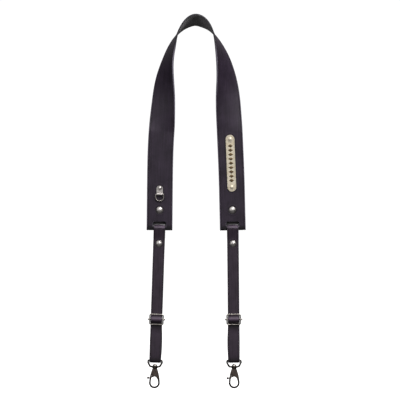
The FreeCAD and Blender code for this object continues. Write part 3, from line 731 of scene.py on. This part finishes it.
def twist_sections():
    """The band over the neck, twisting from one flat leg to the other."""
    step, near = 2.2 * MM, 0.1 * MM
    points = np.array([(x, z) for x, z, turn in BAND_ROUTE]) * MM
    runs = np.linalg.norm(np.diff(points, axis=0), axis=1)
    knots = np.concatenate([[0.0], np.cumsum(runs)])
    turns = np.array([[turn] for x, z, turn in BAND_ROUTE])
    at = np.linspace(knots[1], knots[-2], int((knots[-2] - knots[1]) / step))
    places = cubic(knots, points, at)
    ways = cubic(knots, points, at + near) - cubic(knots, points, at - near)
    angles = cubic(knots, turns, at)[:, 0]
    angles[0] = angles[-1] = 0.0
    made = []
    for (x, z), (dx, dz), angle in zip(places, ways, angles):
        along = Vector((dx, 0, dz)).normalized()
        outward = Vector((-along.z, 0, along.x))
        turn = math.radians(max(0.0, angle))
        across = outward * -math.cos(turn) + Vector((0, -math.sin(turn), 0))
        grain = outward * math.sin(turn) + Vector((0, -math.cos(turn), 0))
        made.append(Section((x, 0, z), across, grain, BAND_THICK / 2, along))
    return made


def fold_shade(side):
    """The leather is darkest where it turns under at the fold."""
    back = band_end(side).inverted()
    begins, fades_in = 5.5 * MM, 2.0 * MM

    def shape(place):
        return 0.0, 0.9 * clamp((begins - (back @ place).z) / fades_in)
    return shape


def rounded_outline(half_x, half_z, corner, steps=6):
    """Corner points of a rounded rectangle, anticlockwise."""
    made = []
    for quarter, (sx, sz) in enumerate(((1, 1), (-1, 1), (-1, -1), (1, -1))):
        for step in range(steps + 1):
            turn = math.radians(90 * quarter + 90 * step / steps)
            made.append((sx * (half_x - corner) + corner * math.cos(turn),
                         sz * (half_z - corner) + corner * math.sin(turn)))
    return made


def slot_cutter(side):
    """The punch for both slots, flared at the front so that the slot's rim is softened."""
    at = band_end(side)
    outer = BAND_THICK + FOLD_GAP / 2
    over = 1.2 * MM             # how far the punch stands out of the leather
    seam = 0.01 * MM            # half the step between the two slots, inside the fold's gap
    flares = [(outer + over, 1.35 * MM), (outer, 0.45 * MM),
              (outer - 0.25 * MM, 0.14 * MM), (outer - 0.6 * MM, 0.0)]
    front = (SLOT_WIDTH, SLOT_HEIGHT)
    rear = (REAR_SLOT_WIDTH, REAR_SLOT_HEIGHT)
    levels = [(-y, grow, front) for y, grow in flares] + [(-seam, 0.0, front)]
    levels += [(seam, 0.0, rear), (outer + over, 0.0, rear)]
    bm = bmesh.new()
    painted_shade_layer = bm.verts.layers.float.new("painted_shade")
    rings = []
    for y, grow, (width, height) in levels:
        points = rounded_outline(width / 2 + grow, height / 2 + grow, height / 3 + grow)
        middle = FOLD_LOW + height / 2
        rings.append([bm.verts.new(at @ Vector((x, y, middle + z))) for x, z in points])
    # Painted shade on the cut faces inside the slots.
    for vert in bm.verts:
        vert[painted_shade_layer] = 0.85        # the cut faces inside the slots are in shadow
    for near, far in zip(rings, rings[1:]):
        for i in range(len(near)):
            j = (i + 1) % len(near)
            bm.faces.new((near[i], near[j], far[j], far[i])).material_index = EDGE
    bm.faces.new(rings[0])
    bm.faces.new(rings[-1])
    bmesh.ops.recalc_face_normals(bm, faces=bm.faces)
    return object_from(bm, "slot_cutter_" + side)


def bake_modifiers(obj):
    """Replace the object's mesh by the result of its modifiers, and drop them."""
    bpy.context.view_layer.update()
    graph = bpy.context.evaluated_depsgraph_get()
    baked = bpy.data.meshes.new_from_object(obj.evaluated_get(graph), depsgraph=graph)
    obj.modifiers.clear()
    obj.data = baked


def make_band(materials):
    twist = twist_sections()
    left_leg = leg_sections("left", twist[0].centre, twist[0].along)
    right_leg = leg_sections("right", twist[-1].centre, -twist[-1].along)
    sections = (end_sections("left") + left_leg + twist + right_leg[::-1]
                + end_sections("right")[::-1])
    fittings = []
    for side in SIDES:
        fittings.append(dimple("band_rivet_cap_" + side))
        fittings.append(fold_shade(side))
    low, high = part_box("name_plate")
    fittings.append(plate_edge((low.x + PLATE_RADIUS, high.z - PLATE_RADIUS),
                               (high.x - PLATE_RADIUS, low.z + PLATE_RADIUS), PLATE_RADIUS))
    low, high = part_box("accessory_tab")
    half = (high.x - low.x) / 2
    tab_x = (low.x + high.x) / 2
    fittings.append(plate_edge((tab_x, high.z - half), (tab_x, low.z + half), half))
    fold_top = band_end("left").translation.z + 16 * MM
    crown_low, crown_fade = -52 * MM, 18 * MM

    def edge_dark_and_shade(place, kind):
        """Darker on the crown's cut edges, and painted shadow between the folded layers."""
        if kind == EDGE:
            return 0.9 * clamp((place.z - crown_low) / crown_fade)
        return 0.95 if place.z < fold_top else 0.0

    band = strap_mesh("band_leather", sections, BAND_HALF, BAND_CREASE, columns=25,
                      relief=summed(fittings), seed=3.0, edge_dark_and_shade=edge_dark_and_shade)
    give_materials(band, materials)
    cutters = [slot_cutter(side) for side in SIDES]
    for cutter in cutters:
        give_materials(cutter, materials)
        cut = band.modifiers.new("slot", "BOOLEAN")
        cut.operation = "DIFFERENCE"
        cut.solver = "EXACT"
        cut.object = cutter
    bake_modifiers(band)
    for cutter in cutters:
        bpy.data.objects.remove(cutter)
    band.data.set_sharp_from_angle(angle=math.radians(40))
    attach(band, "band")
    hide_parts("neck_band")


# ---- Drop straps ------------------------------------------------------------------

# The strap's route is in mm, in y and z from the bar of leather at the band's end.
LAYER = 1.05                # from the middle of a double layer to the middle of either
LOOP_RADIUS = 5.1           # round the bar
SLIDER_Z = -140.5
SEAM = 8.3                  # above the slider's middle, hidden behind its upper bar
HOOK_BAR_Z = -204.3
FOLD_RADIUS = 2.7           # round the hook's loop
END_BACK = 4.1              # y of the strap's end, closed round the slider's pin
END_FRONT = 2.05            # y of the layer in front of it
END_LENGTH = 24.0
ROUTE_STEP = 1.5
FULL_ARC = 0.999            # two arcs of this share of a gap turn back without a straight


def strap_frame(side):
    """The frame at the band's bar, with z along the drop strap."""
    bar = Vector(JOINTS["strap_swing_" + side]["pos_m"])
    up = Vector(JOINTS["slider_slide_" + side]["axis"])
    turn = math.atan2(up.x, up.z)
    return Matrix.Translation(bar) @ Matrix.Rotation(turn, 4, "Y")


def rounded_route(points, radii, step):
    """Places and directions (y, z, dy, dz) in mm along runs joined by arcs."""
    points = [np.array(point, float) for point in points]
    made = []
    last = points[0]

    def straight(begin, end):
        run = end - begin
        length = float(np.linalg.norm(run))
        if length < 1e-6:
            return
        way = run / length
        for share in np.arange(0.0, length, step):
            made.append((*(begin + way * share), *way))

    for point, before, after, radius in zip(points[1:-1], points, points[2:], radii):
        come = (before - point) / np.linalg.norm(before - point)
        go = (after - point) / np.linalg.norm(after - point)
        half = math.acos(max(-1.0, min(1.0, float(come @ go)))) / 2
        reach = radius / math.tan(half)
        bisector = (come + go) / np.linalg.norm(come + go)
        centre = point + bisector * (radius / math.sin(half))
        begin = point + come * reach
        straight(last, begin)
        sweep = math.pi - 2 * half
        turning = np.sign(-come[0] * go[1] + come[1] * go[0])
        arm = begin - centre
        count = max(2, int(math.ceil(sweep * radius / min(step, radius * 0.26))))
        for index in range(count):
            angle = turning * sweep * index / count
            c, s = math.cos(angle), math.sin(angle)
            spot = centre + np.array((arm[0] * c - arm[1] * s, arm[0] * s + arm[1] * c))
            way = -come
            made.append((*spot, way[0] * c - way[1] * s, way[0] * s + way[1] * c))
        last = point + go * reach
    straight(last, points[-1])
    way = (points[-1] - last) / np.linalg.norm(points[-1] - last)
    made.append((*points[-1], *way))
    return made


def strap_sections(side, route, thickness, stray=None):
    """Sections along a route. stray gives, in mm, how far a place lies to the side."""
    at = strap_frame(side)
    across = at.to_3x3() @ Vector((-1, 0, 0))
    made = []
    for index, (y, z, dy, dz) in enumerate(route):
        grain = at.to_3x3() @ Vector((0, dz, -dy))
        aside = stray(y, z) if stray else 0.0
        place = at @ Vector((aside * MM, y * MM, z * MM))
        made.append(Section(place, across, grain, thickness(index, y, z) / 2))
    return made


def make_upper_strap(side, materials, seed):
    """The loop through the band's slot, closed by its rivet, and the run down to the slider."""
    r = LOOP_RADIUS
    points = [(LAYER, -32.0), (LAYER, -17.0), (r, 0.0), (r, r), (-r, r), (-r, 0.0),
              (-LAYER, -17.0), (-LAYER, SLIDER_Z + SEAM)]
    route = rounded_route(points, [14, 10, r * FULL_ARC, r * FULL_ARC, 10, 14], ROUTE_STEP)
    sections = strap_sections(side, route, lambda index, y, z: STRAP_THICK)
    relief = dimple("strap_rivet_cap_" + side, 0.8)
    at = strap_frame(side)
    back = at.inverted()

    def wear_and_highlight(place):
        """Painted highlight: pale where the loop's front bends into the slot."""
        local = back @ place
        return 0.8 * clamp((-local.y / MM - 2.0) / 3.0) * bell(local.z / MM, 3.2, 2.4)

    strap = strap_mesh("drop_strap_" + side, sections, STRAP_HALF, STRAP_CREASE,
                       STRAP_COLUMNS, relief, seed, wear_and_highlight)
    give_materials(strap, materials)
    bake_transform(strap)
    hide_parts("strap_top_" + side, "strap_run_" + side)


def make_lower_strap(side, materials, seed):
    """The weave over the slider's pin, down round the hook's loop and back up to the pin."""
    z = SLIDER_Z
    r = FOLD_RADIUS
    turn = HOOK_BAR_Z
    points = [(-LAYER, z + SEAM), (-LAYER, z + 6.65), (-7.25, z + 2.0), (-7.25, z - 2.0),
              (-LAYER, z - 6.65), (-LAYER, z - 21.2), (-r, turn + 14.2), (-r, turn - r),
              (r, turn - r), (r, turn + 14.2), (END_FRONT, z - 32.2), (END_FRONT, z - 6.475),
              (-6.05, z - 0.4), (-3.65, z + 2.8), (END_BACK, z - 3.0), (END_BACK, z - END_LENGTH)]
    radii = [2.2, 4, 4, 2.2, 30, 30, r * FULL_ARC, r * FULL_ARC, 30, 30, 4.0,
             2.0 * FULL_ARC, 2.0 * FULL_ARC, 2.5]
    route = rounded_route(points, radii, ROUTE_STEP)
    count = len(route)

    def thickness(index, y, height):
        """The end is skived thinner where it closes round the pin."""
        skived = index > count * 0.5 and (y > 3.2 or height > z - END_LENGTH)
        return SKIVED_THICK if skived else STRAP_THICK

    def stray(y, height):
        """The two layers lie a little out of line between the slider and the hook."""
        below = z - 12.0        # under the slider
        bulge = math.sin(math.pi * clamp((below - height) / (below - turn)))
        layer = clamp(y / 1.5, -1.0)
        return bulge * (0.55 * layer + (0.35 if side == "left" else -0.35))

    sections = strap_sections(side, route, thickness, stray)
    pressed = dimple("end_rivet_cap_" + side, 0.6)
    at = strap_frame(side)
    back = at.inverted()

    def relief(place):
        """Painted shade under the slider and at the hook, and pressed by the end's rivet behind,
        with painted shade at its edge.
        """
        local = back @ place
        height = local.z / MM
        # Painted shade under the slider's lower bar and round the hook's loop.
        under = 0.85 * bell(height, z - 11.0, 5.0) if height < z - 6.0 else 0.0
        hook_shade = 0.85 * bell(height, turn, 6.0)
        lift, dark = pressed(place) if local.y > 3.0 * MM else (0.0, 0.0)
        return lift, max(under, hook_shade, dark)

    def wear_and_highlight(place):
        """Painted highlight: pale where the strap stands out over the slider's pin."""
        local = back @ place
        return 0.9 * clamp(-local.y / MM - 5.6) * bell(local.z / MM, z + 1.6, 2.2)

    strap = strap_mesh("hook_strap_" + side, sections, STRAP_HALF, STRAP_CREASE,
                       STRAP_COLUMNS, relief, seed, wear_and_highlight)
    give_materials(strap, materials)
    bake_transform(strap)
    pieces = ["strap_weave", "strap_front_run", "strap_fold", "strap_back_run", "strap_end"]
    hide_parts(*[piece + "_" + side for piece in pieces])


# ---- Metal ------------------------------------------------------------------------

def plate_ornament(material):
    """A row of low facets in the plate's recess."""
    centre, half = centre_and_half("name_plate")
    lean = math.radians(-2.2)
    front = (centre - half).y
    at = Matrix.Translation((centre.x, front, centre.z)) @ Matrix.Rotation(lean, 4, "Y")
    count = 9
    pitch = 6.7 * MM
    half_x, half_z = 4.2 * MM, 2.6 * MM
    corners = [(half_x, 0), (0, half_z), (-half_x, 0), (0, -half_z)]
    # Places in y behind the plate's front, and the shoulder's share of the outline.
    ground, shoulder, crest, inset = 0.36 * MM, 0.10 * MM, -0.12 * MM, 0.86
    bm = bmesh.new()
    for index in range(count):
        z = (index - (count - 1) / 2) * pitch
        base = [bm.verts.new(at @ Vector((x, ground, z + dz))) for x, dz in corners]
        rim = [bm.verts.new(at @ Vector((x * inset, shoulder, z + dz * inset)))
               for x, dz in corners]
        top = bm.verts.new(at @ Vector((0, crest, z)))
        for i in range(4):
            j = (i + 1) % 4
            bm.faces.new((base[i], base[j], rim[j], rim[i]))
            bm.faces.new((rim[i], rim[j], top))
        bm.faces.new(base)
    bmesh.ops.recalc_face_normals(bm, faces=bm.faces)
    obj = object_from(bm, "plate_ornament")
    give_materials(obj, [material])
    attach(obj, "band")


# Colours where bright, worn and in corners, then roughness, scratches and how metallic.
FINISHES = {
    "bright_nickel": ((0.82, 0.78, 0.75), (0.77, 0.73, 0.70), (0.10, 0.08, 0.075), 0.38, 0.02),
    "pale_brass": ((1.0, 0.92, 0.74), (0.95, 0.83, 0.60), (0.20, 0.12, 0.05), 0.34, 0.10, 0.45),
    "plate_bronze": ((0.30, 0.21, 0.11), (0.12, 0.08, 0.045), (0.02, 0.013, 0.008), 0.4),
    "antique_nickel": ((0.60, 0.56, 0.52), (0.42, 0.39, 0.36), (0.03, 0.026, 0.026), 0.32, 0.25),
    "dark_nickel": ((0.075, 0.072, 0.066), (0.035, 0.033, 0.030), (0.01, 0.01, 0.01), 0.34, 0.3),
    "gunmetal": ((0.10, 0.088, 0.076), (0.04, 0.036, 0.032), (0.008, 0.007, 0.007), 0.33, 0.35),
    "antique_copper": ((0.12, 0.08, 0.065), (0.05, 0.034, 0.028), (0.012, 0.008, 0.007),
                       0.32, 0.35),
    "spring_steel": ((0.60, 0.60, 0.61), (0.45, 0.45, 0.46), (0.1, 0.1, 0.1), 0.3),
}


def dress_metal():
    """Give every carried-over metal node its finish, by its slot or by its name."""
    finishes = {name: plated_metal(name, *look) for name, look in FINISHES.items()}
    hook = hook_metal("hook_metal", (0.085, 0.075, 0.068), (0.30, 0.24, 0.21),
                      (0.02, 0.017, 0.016))
    for name, node in frame["nodes"].items():
        slot = node.data.materials[0].name.split(".")[0]
        if name.startswith("hook_body"):
            node.material_slots[0].material = hook
        elif name == "accessory_ring":
            node.material_slots[0].material = finishes["antique_nickel"]
        elif slot in finishes:
            node.material_slots[0].material = finishes[slot]
    return finishes


make_camera()
make_world()
make_stage()
for light in LIGHTS:
    soft_light(*light)

BAND_LOOK = [
    grain_leather("band_grain", (0.016, 0.011, 0.019), (0.043, 0.029, 0.051)),
    cut_edge("band_edge", (0.10, 0.09, 0.115), (0.30, 0.27, 0.34)),
    flesh_side("band_flesh", (0.06, 0.057, 0.06), (0.30, 0.285, 0.30)),
]
STRAP_LOOK = [
    grain_leather("strap_grain", (0.022, 0.015, 0.0235), (0.062, 0.043, 0.066)),
    cut_edge("strap_edge", (0.012, 0.010, 0.013), (0.04, 0.034, 0.042)),
    flesh_side("strap_flesh", (0.03, 0.028, 0.03), (0.08, 0.075, 0.08)),
]
make_band(BAND_LOOK)
for index, side in enumerate(SIDES):
    make_upper_strap(side, STRAP_LOOK, 11.0 + index)
    make_lower_strap(side, STRAP_LOOK, 17.0 + index)
metals = dress_metal()
plate_ornament(metals["plate_bronze"])

bpy.context.scene.view_settings.view_transform = "Standard"
